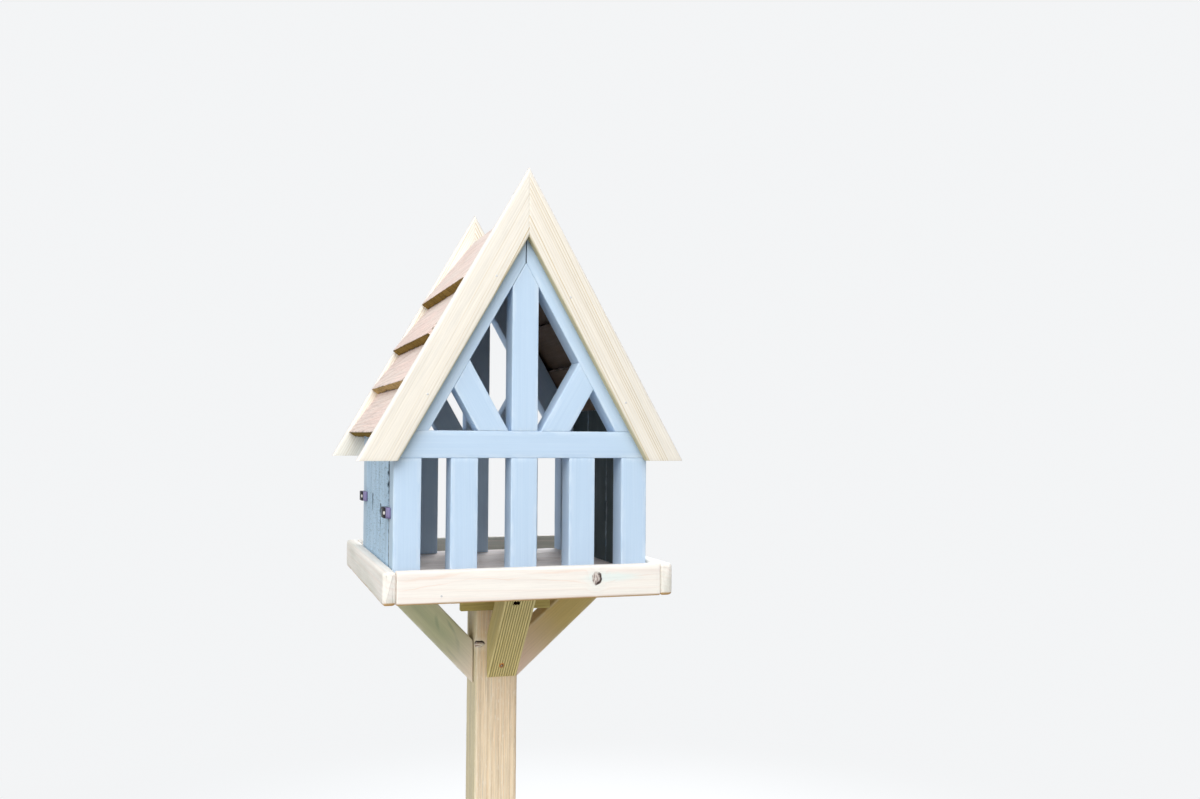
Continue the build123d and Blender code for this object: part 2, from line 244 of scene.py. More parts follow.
TORN = {"early": (0.72, 0.33, 0.10), "late": (0.40, 0.14, 0.04), "tone": (0.72, 0.33, 0.10), "ring": 0.0012,
        "seed": 0.0}

TAN = {"early": (0.95, 0.78, 0.56), "late": (0.74, 0.52, 0.30), "tone": (0.90, 0.66, 0.44)}
FOOT = {**TAN, "ring": 0.0048, "contrast": 0.4, "pith": (0.03, -0.08)}
# POST's inner colour is painted shade on the post's left face.
POST = {**TAN, "seed": 4.0, "ring": 0.0024, "contrast": 0.30, "pith": (0.035, 0.12), "blotch": 0.45,
        "fibre": 0.20, "lean": 0.012, "stripe": 0.45, "stripe_tone": (0.78, 0.55, 0.32),
        "stripe_pale": (0.95, 0.88, 0.75), "speck": 0.45, "speck_tone": (1.0, 0.92, 0.82),
        "inner": (0.70, 0.62, 0.40), "knots": (POST_KNOT,), "halo": (0.95, 0.88, 0.75), "halo_strength": 0.45,
        "knot_dark": (0.30, 0.17, 0.11), "knot_pale": (0.93, 0.86, 0.78)}

BLUE = {**GRAIN, "colour": (0.53, 0.675, 0.84), "shade": (0.40, 0.54, 0.70), "ring": 0.0045, "grain": 0.10,
        "mottle": 0.12, "arris_wear_and_light": 0.22, "bump": 0.25, "fuzz": 0.0, "roughness": 0.5}
# UPRIGHT's inner colour is painted shade on the corner posts' left faces.
UPRIGHT = {**BLUE, "inner": (0.33, 0.46, 0.55)}
# WALL's near-black cut colour is painted shade in the cracks.
WALL = {**BLUE, "colour": (0.46, 0.64, 0.81), "shade": (0.30, 0.43, 0.53), "inner": (0.075, 0.10, 0.10),
        "cut": (0.035, 0.05, 0.065), "pith": (0.015, -0.07), "grain": 0.2, "mottle": 0.5, "arris_wear_and_light": 0.3,
        "bump": 0.6, "fuzz": 0.6, "roughness": 0.65}
BRUSH_PALE = (0.86, 0.93, 1.0)
PIT_SHADE = (0.16, 0.24, 0.29)
# Pale arrises of the paint: partly wear and partly a painted highlight.
PAINT_ARRIS_WEAR_AND_HIGHLIGHT = (0.88, 0.94, 0.99)
PLASTIC = ((0.012, 0.011, 0.014), (0.05, 0.045, 0.06))
PLASTIC_PAINTED_SHEEN = ((0.27, 0.235, 0.41), (0.13, 0.11, 0.21))
NAIL_STEEL = (0.62, 0.62, 0.62)
BRACE_STEEL = (0.85, 0.80, 0.74)
BLOCK_STEEL = (0.80, 0.78, 0.74)


# Materials


class Tree:
    """The nodes of a material or a world, with short ways to add to them."""

    def __init__(self, owner):
        owner.use_nodes = True
        self.owner = owner
        self.nodes, self.links = owner.node_tree.nodes, owner.node_tree.links
        self.shader = self.nodes.get("Principled BSDF")

    def put(self, socket, value):
        if isinstance(value, bpy.types.NodeSocket):
            self.links.new(value, socket)
        elif value is not None:
            socket.default_value = (*value, 1.0) if socket.type == "RGBA" else value

    def node(self, kind, *values, **settings):
        """Adds a node and fills its first inputs with values or links."""
        node = self.nodes.new(kind)
        for key, value in settings.items():
            setattr(node, key, value)
        for socket, value in zip(node.inputs, values):
            self.put(socket, value)
        return node

    def add(self, kind, *values, out=0, **settings):
        """Adds a node and returns one of its outputs."""
        return self.node(kind, *values, **settings).outputs[out]

    def math(self, operation, *values):
        return self.add("ShaderNodeMath", *values, operation=operation)

    def times(self, first, second):
        return self.math("MULTIPLY", first, second)

    def vector(self, operation, *values):
        out = 1 if operation in ("LENGTH", "DOT_PRODUCT") else 0
        return self.add("ShaderNodeVectorMath", *values, out=out, operation=operation)

    def parts(self, vector):
        return self.node("ShaderNodeSeparateXYZ", vector).outputs

    def attribute(self, name):
        return self.add("ShaderNodeAttribute", out=2, attribute_name=name)

    def between(self, value, low, high, to_low=0.0, to_high=1.0):
        """A smooth step from one value to another."""
        return self.add("ShaderNodeMapRange", value, low, high, to_low, to_high,
                        interpolation_type="SMOOTHSTEP")

    def noise(self, place, scale, detail=2.0, roughness=0.5, out=0):
        """Noise with its own scale along, across and through the grain."""
        stretched = self.vector("MULTIPLY", place, scale)
        return self.add("ShaderNodeTexNoise", stretched, None, 1.0, detail, roughness, out=out)

    def patches(self, place, scale, low, high, to_low=0.0, to_high=1.0, **settings):
        """Noise taken through a smooth step, so that it comes and goes in patches."""
        return self.between(self.noise(place, scale, **settings), low, high, to_low, to_high)

    def stirred(self, place, at, scale, amount):
        """A place moved about by the noise at the same or another place."""
        shift = self.vector("SUBTRACT", self.noise(at, scale, out=1), (0.5, 0.5, 0.5))
        return self.vector("ADD", place, self.vector("SCALE", shift, None, None, amount))

    def ramp(self, factor, stops):
        """A grey that runs straight between stops (place, grey)."""
        node = self.node("ShaderNodeValToRGB", factor)
        elements = node.color_ramp.elements
        while len(elements) < len(stops):
            elements.new(0.5)
        for element, (place, grey) in zip(elements, stops):
            element.position = place
            element.color = (grey, grey, grey, 1.0)
        return node.outputs[0]

    def mix(self, factor, first, second, blend="MIX"):
        node = self.node("ShaderNodeMix", factor, data_type="RGBA", blend_type=blend)
        self.put(node.inputs[6], first)
        self.put(node.inputs[7], second)
        return node.outputs[2]

    def tinted(self, colour, tone, share, strength):
        return self.mix(self.times(share, strength), colour, tone)

    def shaded(self, colour, shade):
        return self.mix(1.0, colour, self.add("ShaderNodeCombineXYZ", shade, shade, shade), "MULTIPLY")

    def bump(self, height, strength, distance, before=None):
        node = self.node("ShaderNodeBump")
        for key, value in (("Strength", strength), ("Distance", distance), ("Height", height),
                           ("Normal", before)):
            self.put(node.inputs[key], value)
        return node.outputs[0]

    def seen(self):
        """1 where the camera or a glossy surface looks, 0 for the light that falls on the object."""
        rays = self.node("ShaderNodeLightPath").outputs
        return self.math("MAXIMUM", rays["Is Camera Ray"], rays["Is Glossy Ray"])

    def finish(self, colour, roughness, normal, specular=SHINE):
        for key, value in (("Base Color", colour), ("Roughness", roughness), ("Normal", normal),
                           ("Specular IOR Level", specular)):
            self.put(self.shader.inputs[key], value)
        return self.owner


def grain_space(tree, seed=0.0, order="xyz"):
    """Object coordinates with the grain along the first axis, and the same moved by the seed."""
    place = tree.add("ShaderNodeTexCoord", out=3)
    if order != "xyz":
        parts = tree.parts(place)
        place = tree.add("ShaderNodeCombineXYZ", *[parts["xyz".index(axis)] for axis in order])
    return place, tree.vector("ADD", place, (seed * 0.731, seed * 0.053, seed * 0.037))


def growth_rings(tree, place, moved, look, knots=()):
    """Late wood, 0 to 1, of rings round a pith that runs beside the board, bent round the knots."""
    along, across, through = tree.parts(tree.stirred(place, moved, (2.2, 9, 9), look["wander"]))
    across = tree.math("SUBTRACT", across, look["pith"][0])
    across = tree.math("ADD", across, tree.times(along, look["lean"]))
    through = tree.math("SUBTRACT", through, look["pith"][1])
    radius = tree.vector("LENGTH", tree.add("ShaderNodeCombineXYZ", 0.0, across, through))
    count = tree.math("DIVIDE", radius, look["ring"])
    for knot, _ in knots:
        count = tree.math("ADD", count, tree.between(knot, 0.0, 3.2, look["knot_push"], 0.0))
    uneven = tree.noise(moved, (0.8, 30, 30), detail=1.0)
    count = tree.math("ADD", count, tree.times(uneven, 2.2))
    late = tree.ramp(tree.math("FRACT", count), LATE_WOOD)
    own = tree.add("ShaderNodeTexWhiteNoise", None, tree.math("FLOOR", count), noise_dimensions="1D")
    calm = tree.patches(moved, (1.2, 40, 40), 0.38, 0.60, 1.0 - look["patch"], detail=1.0)
    return tree.times(tree.times(late, calm), tree.between(own, 0.0, 1.0, look["vary"]))


def spot(tree, place, middle, radii):
    """Offset from the middle of a ragged oval spot, as a share of its radii."""
    ragged = tree.stirred(place, place, (130, 130, 130), KNOT_RAGGED)
    return tree.vector("MULTIPLY", tree.vector("SUBTRACT", ragged, middle), tuple(1 / r for r in radii))


def knot_distance(tree, place, knot):
    """Distance from a knot's middle, 1 at its rim, and 0 to 1 towards its darker side.

    A knot is (middle, radii, direction of the darker side).
    """
    middle, radii, lean = knot
    local = spot(tree, place, middle, radii)
    toward = tree.vector("DOT_PRODUCT", tree.vector("NORMALIZE", local), lean)
    return tree.vector("LENGTH", local), tree.between(toward, -0.35, 0.55, 0.05)


def streak_distance(tree, place, streak):
    """Distance from the middle of a streak at an angle to the grain, 1 outside it."""
    along, across, turn, reach, half = streak
    away = tree.vector("SUBTRACT", place, (along, across, 0.0))
    away = tree.stirred(away, place, (25, 60, 60), STREAK_WAVE)
    lengthways = tree.vector("DOT_PRODUCT", away, (math.cos(turn) / reach, math.sin(turn) / reach, 0.0))
    sideways = tree.vector("DOT_PRODUCT", away, (-math.sin(turn) / half, math.cos(turn) / half, 0.0))
    share = tree.vector("LENGTH", tree.add("ShaderNodeCombineXYZ", lengthways, sideways, 0.0))
    return tree.between(share, 0.0, 1.2)


def knot_colours(tree, colour, place, moved, look, knots):
    """A halo, a heart with fine cracks, and a broken rim that is darker on one side."""
    for knot, dark_side in knots:
        colour = tree.mix(tree.between(knot, 0.9, 2.8, look["halo_strength"], 0.0), colour, look["halo"])
        cracks = tree.patches(place, (430, 120, 120), 0.46, 0.60, 0.0, 0.9)
        dark = tree.math("MAXIMUM", cracks, tree.times(dark_side, 0.3))
        heart = tree.mix(dark, look["knot_pale"], look["knot_dark"])
        colour = tree.mix(tree.between(knot, 0.80, 1.10, 0.9, 0.0), colour, heart)
        rim = tree.times(tree.between(knot, 0.50, 0.78), tree.between(knot, 0.98, 1.14, 1.0, 0.0))
        broken = tree.patches(moved, (160, 160, 160), 0.20, 0.38, 0.3)
        colour = tree.mix(tree.times(rim, tree.times(broken, dark_side)), colour, KNOT_CRACK)
    return colour


def side_colours(tree, colour, cut, inner):
    """Colour and shine with the faces that the point attribute "side" marks.

    It is 1 where a sawn-off, cracked or drilled face takes the dull cut colour, and -1 on an inner face; in
    many looks these are painted shade, or a painted highlight on the bargeboards' outer edge.
    """
    side, shine = tree.attribute("side"), SHINE
    if cut:
        share = tree.math("MAXIMUM", side, 0.0)
        colour = tree.mix(share, colour, cut)
        shine = tree.math("MULTIPLY_ADD", share, -SHINE, SHINE)
    if inner:
        colour = tree.mix(tree.math("MAXIMUM", tree.times(side, -1.0), 0.0), colour, inner)
    return colour, shine


def seeded(name):
    """A number from a piece's name, the same on every run."""
    return sum(ord(letter) * (k + 1) for k, letter in enumerate(name)) % 97 / 3.0


def wood(name, changes):
    """Bare softwood: growth rings, fibres, stripes and blotches of other tones, knots, and arrises tinted
    with a painted highlight or a painted shadow.
    """
    look = {**WOOD, "seed": seeded(name), **changes}
    tree = Tree(bpy.data.materials.new(name))
    place, moved = grain_space(tree, look["seed"], look["order"])
    knots = [knot_distance(tree, place, knot) for knot in look["knots"]]
    rings = growth_rings(tree, place, moved, look, knots)
    saw = tree.noise(moved, (520, 14, 14))
    fibre = tree.noise(moved, (26, 620, 620), detail=3.0, roughness=0.65)
    coarse = tree.noise(moved, (5, 260, 260))

    colour = tree.mix(tree.times(rings, look["contrast"]), look["early"], look["late"])
    blotch = tree.patches(moved, (3, 22, 22), 0.38, 0.72, detail=3.0)
    colour = tree.tinted(colour, look["tone"], blotch, look["blotch"])
    if look["stripe"]:
        dark = tree.patches(moved, (1.6, 420, 420), 0.44, 0.62, detail=3.0, roughness=0.6)
        colour = tree.tinted(colour, look["stripe_tone"], dark, look["stripe"])
        pale = tree.patches(moved, (2.1, 330, 350), 0.52, 0.68, detail=3.0)
        colour = tree.tinted(colour, look["stripe_pale"], pale, look["stripe"])
    for streak in look["streaks"]:
        away = streak_distance(tree, place, streak)
        colour = tree.mix(tree.between(away, 0.0, 1.0, look["streak_strength"], 0.0), colour, look["streak"])
    if look["stain"]:
        away = tree.vector("LENGTH", spot(tree, place, *look["stain"]))
        colour = tree.mix(tree.between(away, 0.35, 1.1, 0.8, 0.0), colour, look["halo"])
    if look["foot"]:
        tint, reach, strength = look["foot"]
        colour = tree.mix(tree.between(tree.parts(place)[0], 0.0, reach, strength, 0.0), colour, tint)

    cut = look["cut"]
    if cut:
        marked = tuple(c * (1.0 - look["cut_marks"]) for c in cut)
        cut = tree.mix(tree.between(saw, 0.38, 0.56), marked, cut)
    colour, shine = side_colours(tree, colour, cut, look["inner"])

    both = tree.math("ADD", tree.times(fibre, 0.5), tree.times(coarse, 0.5))
    weak, strong = 1.0 - look["fibre"], 1.0 + look["fibre"] * 0.5
    colour = tree.shaded(colour, tree.between(both, 0.32, 0.68, weak, strong))
    if look["speck"]:
        speck = tree.patches(moved, (70, 420, 420), 0.54, 0.70, detail=3.0, roughness=0.7)
        colour = tree.tinted(colour, look["speck_tone"], speck, look["speck"])
    if look["saw"]:
        weak, strong = 1.0 - look["saw"], 1.0 + look["saw"] * 0.4
        colour = tree.shaded(colour, tree.between(saw, 0.35, 0.65, weak, strong))
    colour = knot_colours(tree, colour, place, moved, look, knots)
    patchy = tree.patches(moved, (40, 90, 90), 0.35, 0.7, detail=3.0)
    # Arrises take a painted highlight where edge is above 0, and a painted shadow where it is below 0.
    arris_wear_and_light = tree.times(tree.math("POWER", tree.attribute("edge"), 3.0), patchy)
    colour = tree.tinted(colour, ARRIS_PAINTED_HIGHLIGHT if look["edge"] > 0 else ARRIS_PAINTED_SHADOW, arris_wear_and_light, abs(look["edge"]))

    relief = tree.math("ADD", tree.times(fibre, 0.7), tree.times(rings, 0.5))
    if look["saw"]:
        relief = tree.math("ADD", relief, tree.times(saw, 1.2))
    smooth, dull = look["roughness"] - 0.07, look["roughness"] + 0.1
    rough = tree.patches(moved, (20, 120, 120), 0.3, 0.7, smooth, dull)
    return tree.finish(colour, rough, tree.bump(relief, look["bump"], 0.0006), shine)


def paint(name, look):
    """Opaque paint on softwood: the grain, brush marks and raised fibres show faintly through."""
    tree = Tree(bpy.data.materials.new(name))
    place, moved = grain_space(tree, seeded(name))
    rings = growth_rings(tree, place, moved, look)
    brush = tree.noise(moved, (5, 420, 420), detail=3.0, roughness=0.6)
    cloud = tree.noise(moved, (9, 30, 30), detail=3.0)
    fine = tree.noise(moved, (150, 700, 700))

    colour = tree.tinted(look["colour"], look["shade"], tree.between(cloud, 0.35, 0.7), look["mottle"])
    colour = tree.tinted(colour, look["shade"], rings, look["grain"])
    colour = tree.tinted(colour, BRUSH_PALE, tree.between(brush, 0.35, 0.75), look["grain"])
    if look["fuzz"]:
        pits = tree.patches(moved, (430, 62, 62), 0.52, 0.64, detail=3.0, roughness=0.7)
        where = tree.patches(moved, (9, 14, 14), 0.36, 0.62, 0.25, detail=1.0)
        colour = tree.tinted(colour, PIT_SHADE, tree.times(pits, where), look["fuzz"])
    colour, shine = side_colours(tree, colour, look["cut"], look["inner"])
    # Paler arrises, partly wear of the paint and partly a painted highlight.
    patchy = tree.patches(moved, (30, 160, 160), 0.4, 0.62, detail=3.0)
    colour = tree.tinted(colour, PAINT_ARRIS_WEAR_AND_HIGHLIGHT, tree.times(tree.attribute("edge"), patchy), look["arris_wear_and_light"])

    relief = tree.math("ADD", tree.times(brush, 0.5), tree.times(rings, 0.35))
    relief = tree.math("ADD", relief, tree.times(fine, 0.25))
    normal = tree.bump(relief, look["bump"], 0.0006)
    if look["fuzz"]:
        normal = tree.bump(tree.noise(moved, (70, 300, 300), detail=4.0), 0.6, 0.0012, normal)
    rough = tree.between(cloud, 0.3, 0.7, look["roughness"] - 0.05, look["roughness"] + 0.08)
    return tree.finish(colour, rough, normal, shine)


def plastic(name):
    """Black moulded plastic with a faint grain, and a purple-grey painted sheen where the point attribute
    "side" is 1.
    """
    tree = Tree(bpy.data.materials.new(name))
    _, moved = grain_space(tree)
    grain = tree.noise(moved, (900, 900, 900))
    dust = tree.patches(moved, (90, 90, 90), 0.45, 0.75, detail=3.0)
    colour = tree.mix(tree.times(dust, 0.35), *PLASTIC)
    colour = tree.mix(tree.attribute("side"), colour, tree.mix(dust, *PLASTIC_PAINTED_SHEEN))
    rough = tree.between(dust, 0.0, 1.0, 0.5, 0.65)
    return tree.finish(colour, rough, tree.bump(grain, 0.2, 0.0002), specular=0.12)


def steel(name, colour, roughness):
    """Zinc-plated or dull steel with fine scratches."""
    tree = Tree(bpy.data.materials.new(name))
    _, moved = grain_space(tree)
    scratch = tree.noise(moved, (300, 2400, 900))
    spots = tree.patches(moved, (700, 700, 700), 0.5, 0.7)
    shade = tree.mix(tree.times(spots, 0.4), colour, tuple(0.55 * c for c in colour))
    tree.shader.inputs["Metallic"].default_value = 0.9
    rough = tree.between(scratch, 0.3, 0.7, roughness - 0.06, roughness + 0.1)
    return tree.finish(shade, rough, tree.bump(scratch, 0.15, 0.0001))


def blue(name, look=BLUE):
    """Blue paint, on wood whose pith lies elsewhere in each piece."""
    seed = seeded(name)
    return paint(name, {**look, "pith": (0.03 * math.sin(seed * 5), -0.06 - 0.03 * math.cos(seed * 3))})


# Timber


def eased(corners, radius, steps):
    """Points round a convex section with rounded corners, each (place, edge, normal).

    A step may be given for each side of the section.
    """
    points = []
    count = len(corners)
    if not isinstance(steps, tuple):
        steps = (steps,) * count
    for i in range(count):
        before, corner, after = (Vector(corners[(i + k) % count]) for k in (-1, 0, 1))
        back = (before - corner).normalized()
        ahead = (after - corner).normalized()
        half = back.angle(ahead) / 2
        cut = radius / math.tan(half)
        centre = corner + (back + ahead).normalized() * (radius / math.sin(half))
        first = corner + back * cut - centre
        last = corner + ahead * cut - centre
        for k in range(ARC_STEPS + 1):
            spoke = first.normalized().slerp(last.normalized(), k / ARC_STEPS)
            points.append((centre + spoke * radius, 1.0, spoke))
        start = corner + ahead * cut
        nearer = (corner - after).normalized()
        far = (Vector(corners[(i + 2) % count]) - after).normalized()
        stop = after + nearer * radius / math.tan(nearer.angle(far) / 2)
        run = (stop - start).length
        parts = max(1, round(run / steps[i]))
        facing = Vector((ahead.y, -ahead.x))
        for k in range(1, parts):
            rim = min(k, parts - k) * run / parts
            points.append((start.lerp(stop, k / parts), max(0.0, 1.0 - rim / EDGE_FADE), facing))
    return points


def rectangle(low, high):
    """Corners of a section, anticlockwise."""
    return [(low[0], low[1]), (high[0], low[1]), (high[0], high[1]), (low[0], high[1])]


def random_at(*place):
    """A smooth random height at a place, the same on every run."""
    return noise.noise(Vector(place))


def planed(seed, amount=0.00025):
    """How far planed timber's surface lies under its nominal size."""

    def dent(along, across, through, edge):
        place = Vector((along * 7 + seed, across * 30, through * 30))
        dips = 0.6 + 0.6 * random_at(*place)
        return amount * dips + amount * 1.2 * edge * max(0.0, random_at(*(place * 6)))

    return dent


def rough_sawn(seed, amount=0.0005, fuzz=0.45):
    """The same for timber that is left as sawn, with fuzzy arrises."""

    def dent(along, across, through, edge):
        coarse = random_at(along * 9 + seed, across * 40, through * 40)
        fine = random_at(along * 160 + seed, across * 420, through * 420)
        ragged = max(0.0, random_at(along * 90 + seed, across * 60, through * 60))
        return amount * (0.5 + 0.5 * coarse + fuzz * fine) + amount * 3.5 * edge * ragged

    return dent


def timber(name, corners, grain, across, origin, starts, ends, material, node, slot, arris=PLANED_ARRIS,
           step=0.008, stride=0.008, dent=None, ease=END_EASE, side=None, focus=()):
    """A length of timber of one section, cut at each end by planes (point, normal).

    The section's corners are (across, through) from the origin. Vertices are kept in the timber's own axes,
    so that the grain of its material follows it. `side` gives the point attribute of that name. Rings stand
    closer within the reach of each focus (along, reach).
    """
    grain = grain.normalized()
    across = (across - grain * across.dot(grain)).normalized()
    through = grain.cross(across)
    axes = Matrix((grain, across, through)).transposed()
    section = eased(corners, arris, step)
    dent = dent or planed(seeded(name))

    def reach(place, planes, pick):
        foot = origin + across * place.x + through * place.y
        return pick((Vector(point) - foot).dot(normal) / grain.dot(normal) for point, normal in planes)

    low = [reach(place, starts, max) for place, _, _ in section]
    high = [reach(place, ends, min) for place, _, _ in section]
    start, length = min(low), max(high) - min(low)
    count = max(2, round(length / stride))
    shares = {k / count for k in range(count + 1)}
    for at, span in focus:
        fine = round(2 * span / FOCUS_STRIDE)
        shares |= {(at - span + k * FOCUS_STRIDE - start) / length for k in range(fine + 1)}
    wanted = [0.0]
    for share in sorted(shares):
        if wanted[-1] + FOCUS_STRIDE / 3 / length < share <= 1.0:
            wanted.append(share)
    wanted[-1] = 1.0
    size = len(section)
    vertices, edges, sides, faces = [], [], [], []

    def ring(share, shift, shrink):
        for (place, edge, normal), a, b in zip(section, low, high):
            along = a + (b - a) * share + shift
            sunk = place - normal * (dent(along, place.x, place.y, edge) + shrink)
            vertices.append((along, sunk.x, sunk.y))
            edges.append(1.0 if share in (0, 1) else edge)
            sides.append(side(normal, place, along) if side and shrink < ease else 0.0)

    turns = [math.pi / 2 * k / EASE_RINGS for k in range(EASE_RINGS)]
    for turn in turns:
        ring(0, ease * (1 - math.cos(turn)), ease * (1 - math.sin(turn)))
    for share in wanted:
        ring(share, ease if share == 0 else -ease if share == 1 else 0, 0)
    for turn in turns[::-1]:
        ring(1, -ease * (1 - math.cos(turn)), ease * (1 - math.sin(turn)))
    rings = len(vertices) // size
    for k in range(rings - 1):
        for i in range(size):
            j = (i + 1) % size
            faces.append((k * size + i, (k + 1) * size + i, (k + 1) * size + j, k * size + j))
    faces.append(tuple(range(size)))
    faces.append(tuple(range((rings - 1) * size, rings * size))[::-1])
    place = Matrix.Translation(origin) @ axes.to_4x4()
    return piece(name, vertices, faces, place, material, node, slot, edge=edges, side=sides)


def placed(name, data, matrix):
    """A new object in the scene."""
    obj = bpy.data.objects.new(name, data)
    obj.matrix_world = matrix
    bpy.context.scene.collection.objects.link(obj)
    return obj


def piece(name, vertices, faces, place, material, node, slot, **attributes):
    """A mesh object that rides on the part and stands for a node."""
    mesh = bpy.data.meshes.new(name)
    mesh.from_pydata([tuple(v) for v in vertices], [], faces)
    for key, values in attributes.items():
        mesh.attributes.new(key, "FLOAT", "POINT").data.foreach_set("value", values)
    return dressed(name, mesh, place, material, node, slot)


def dressed(name, mesh, place, material, node, slot):
    """Puts a mesh in the scene with its faces turned outward, its material and body, and hides the node's
    part.
    """
    work = bmesh.new()
    work.from_mesh(mesh)
    bmesh.ops.recalc_face_normals(work, faces=work.faces)
    work.to_mesh(mesh)
    work.free()
    mesh.materials.append(material)
    mesh.shade_smooth()
    mesh.set_sharp_from_angle(angle=SHARP_ANGLE)
    obj = placed(name, mesh, place)
    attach(obj, "root")
    if node:
        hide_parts(node)
    return obj


def disc(name, point, normal, radius, height, material, depth=0.002, hole=0.0, stretch=1.0):
    """The round head of a fastening, or a ring round a hole.

    It has fine rings with a height for each place, and a skirt down to its depth.
    """
    rings, around = 14, 36
    sizes = [hole + (radius - hole) * k / rings for k in range(rings + 1)]
    vertices, faces, rows = [], [], []
    for size, top in [(size, True) for size in sizes] + [(radius, False), (hole, False)]:
        rows.append([])
        for k in range(around if size else 1):
            x = size * math.cos(2 * math.pi * k / around)
            y = stretch * size * math.sin(2 * math.pi * k / around)
            rows[-1].append(len(vertices))
            vertices.append((x, y, height(x, y) if top else -depth))
    for a, b in zip(rows, rows[1:] + rows[:1]):
        for k in range(around if len(a) + len(b) > 2 else 0):
            j = (k + 1) % around
            corners = (a[k % len(a)], b[k % len(b)], b[j % len(b)], a[j % len(a)])
            faces.append(tuple(dict.fromkeys(corners)))
    turn = Vector(normal).to_track_quat("Z", "Y").to_matrix().to_4x4()
    return piece(name, vertices, faces, Matrix.Translation(point) @ turn, material, None, None)


def head(proud, fall=0.0, recess=0.0, half_width=0.0, reach=math.inf, cross=False):
    """The heights of a fastening's head: rounded or flat, with a slot or a cross recess."""

    def height(x, y):
        beside = min(abs(x), abs(y)) if cross else abs(x)
        cut = beside < half_width and math.hypot(x, y) < reach
        return proud - fall * (x * x + y * y) - (recess if cut else 0.0)

    return height


# House

corner_low, corner_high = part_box("front_corner_posts")
centre_x = (corner_low.x + corner_high.x) / 2
stock = corner_high.y - corner_low.y
rafter_low, rafter_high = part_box("front_rafter_right")
pitch = math.atan2(rafter_high.z - rafter_low.z, rafter_high.x - rafter_low.x)
beam_top = rafter_low.z
king_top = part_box("front_king_post")[1].z


def slope_axes(side):
    """Down the slope, and out of it, on the right (+1) or left (-1)."""
    down = Vector((side * math.cos(pitch), 0, -math.sin(pitch)))
    out = Vector((side * math.sin(pitch), 0, math.cos(pitch)))
    return down, out


def member(name, node, grain, across, origin, starts, ends, offset=0.0, look=None, **more):
    """A painted square timber of the house frame, whose axis lies at an offset across from the origin."""
    half = stock / 2
    section = rectangle((offset - half, -half), (offset + half, half))
    timber(name, section, grain, across, origin, starts, ends, look or blue(name), node, "blue_paint", **more)


def upright(name, x, node, low, high, side=None):
    member(name, node, Z, X, Vector((x, (low.y + high.y) / 2, low.z)), [(low, Z)], [(high, Z)],
           look=blue(name, UPRIGHT), side=side)


def left_face_painted_shade(normal, place, along):
    """A corner post's left face takes the inner colour: painted shade."""
    return -0.55 * max(0.0, -normal.x)


def frame_members(end):
    half = stock / 2
    node = f"{end}_corner_posts"
    low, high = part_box(node)
    upright(f"{end}_corner_post_left", low.x + half, node, low, high, left_face_painted_shade)
    upright(f"{end}_corner_post_right", high.x - half, node, low, high)
    node = f"{end}_uprights"
    low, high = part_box(node)
    for word, x in (("left", low.x + half), ("middle", (low.x + high.x) / 2), ("right", high.x - half)):
        upright(f"{end}_upright_{word}", x, node, low, high)

    low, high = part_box(f"{end}_beam")
    middle = (low + high) / 2
    member(f"{end}_beam_piece", f"{end}_beam", X, Z, Vector((low.x, middle.y, middle.z)), [(low, X)],
           [(high, X)])

    king_foot = Vector((centre_x, middle.y, beam_top))
    king_head = Vector((centre_x, middle.y, king_top))
    member(f"{end}_king_post_piece", f"{end}_king_post", Z, X, king_foot, [(king_foot, Z)],
           [(king_head, slope_axes(side)[1]) for _, side in SIDES], step=0.0075)

    strut_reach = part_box(f"{end}_struts")[1].x - centre_x
    inner_heel = (king_top - beam_top) / math.tan(pitch)
    foot = 2 * strut_reach - inner_heel
    peak = Vector((centre_x, middle.y, rafter_high.z))
    for word, side in SIDES:
        down, out = slope_axes(side)
        member(f"{end}_rafter_{word}_piece", f"{end}_rafter_{word}", down, out, peak,
               [(peak + X * side * MITRE_GAP, X * side)], [(king_foot, -Z)], offset=-half)
        lean = Vector((side * math.cos(pitch), 0, math.sin(pitch)))
        inner = Vector((-side * math.sin(pitch), 0, math.cos(pitch)))
        member(f"{end}_strut_{word}", f"{end}_struts", lean, inner,
               Vector((centre_x + side * foot, middle.y, beam_top)), [(king_foot, Z)], [(king_head, out)],
               offset=half)


def barge_painted_light(normal, place, along):
    """A bargeboard is paler on its outer edge, a painted highlight, and olive on the inner one, painted
    shade.
    """
    return 0.85 * normal.x if normal.x > 0 else -max(0.0, -normal.x - 0.3) / 0.7


def bargeboards(end):
    facing, changes = (-Y, {}) if end == "front" else (Y, REAR_CREAM_PAINTED_LIGHT)
    for word, side in SIDES:
        node = f"bargeboard_{end}_{word}"
        name = f"{node}_piece"
        low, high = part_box(node)
        down, out = slope_axes(side)
        peak = Vector((centre_x, (low.y + high.y) / 2, high.z))
        half = (high.y - low.y) / 2
        look = wood(name, {**BARGEBOARDS[word], **changes})
        timber(name, rectangle((-BARGE_WIDTH, -half), (0, half)), down, out, peak, [(peak, X * side)],
               [(low, -Z)], look, node, "pale_pine", arris=BARGE_ARRIS, step=0.006, stride=0.007,
               ease=BARGE_END_EASE, dent=planed(seeded(name), 0.0003), side=barge_painted_light)
        for k, along in enumerate(BARGE_NAILS[word]):
            place = peak + down * along - out * BARGE_NAIL_INSET + facing * half
            disc(f"nail_{end}_{word}_{k + 1}", place, facing, NAIL_RADIUS, head(**NAIL_HEAD), nail_steel)


def corners_of(node):
    """The (x, z) corners of a board's section at its front end, in order round it."""
    mesh = frame["nodes"][node].data
    front = min(v.co.y for v in mesh.vertices)
    found = {(round(v.co.x, 6), round(v.co.z, 6)) for v in mesh.vertices if v.co.y < front + 1e-5}
    middle = sum((Vector(p) for p in found), Vector((0, 0))) / len(found)
    return sorted(found, key=lambda p: math.atan2(p[1] - middle.y, p[0] - middle.x))


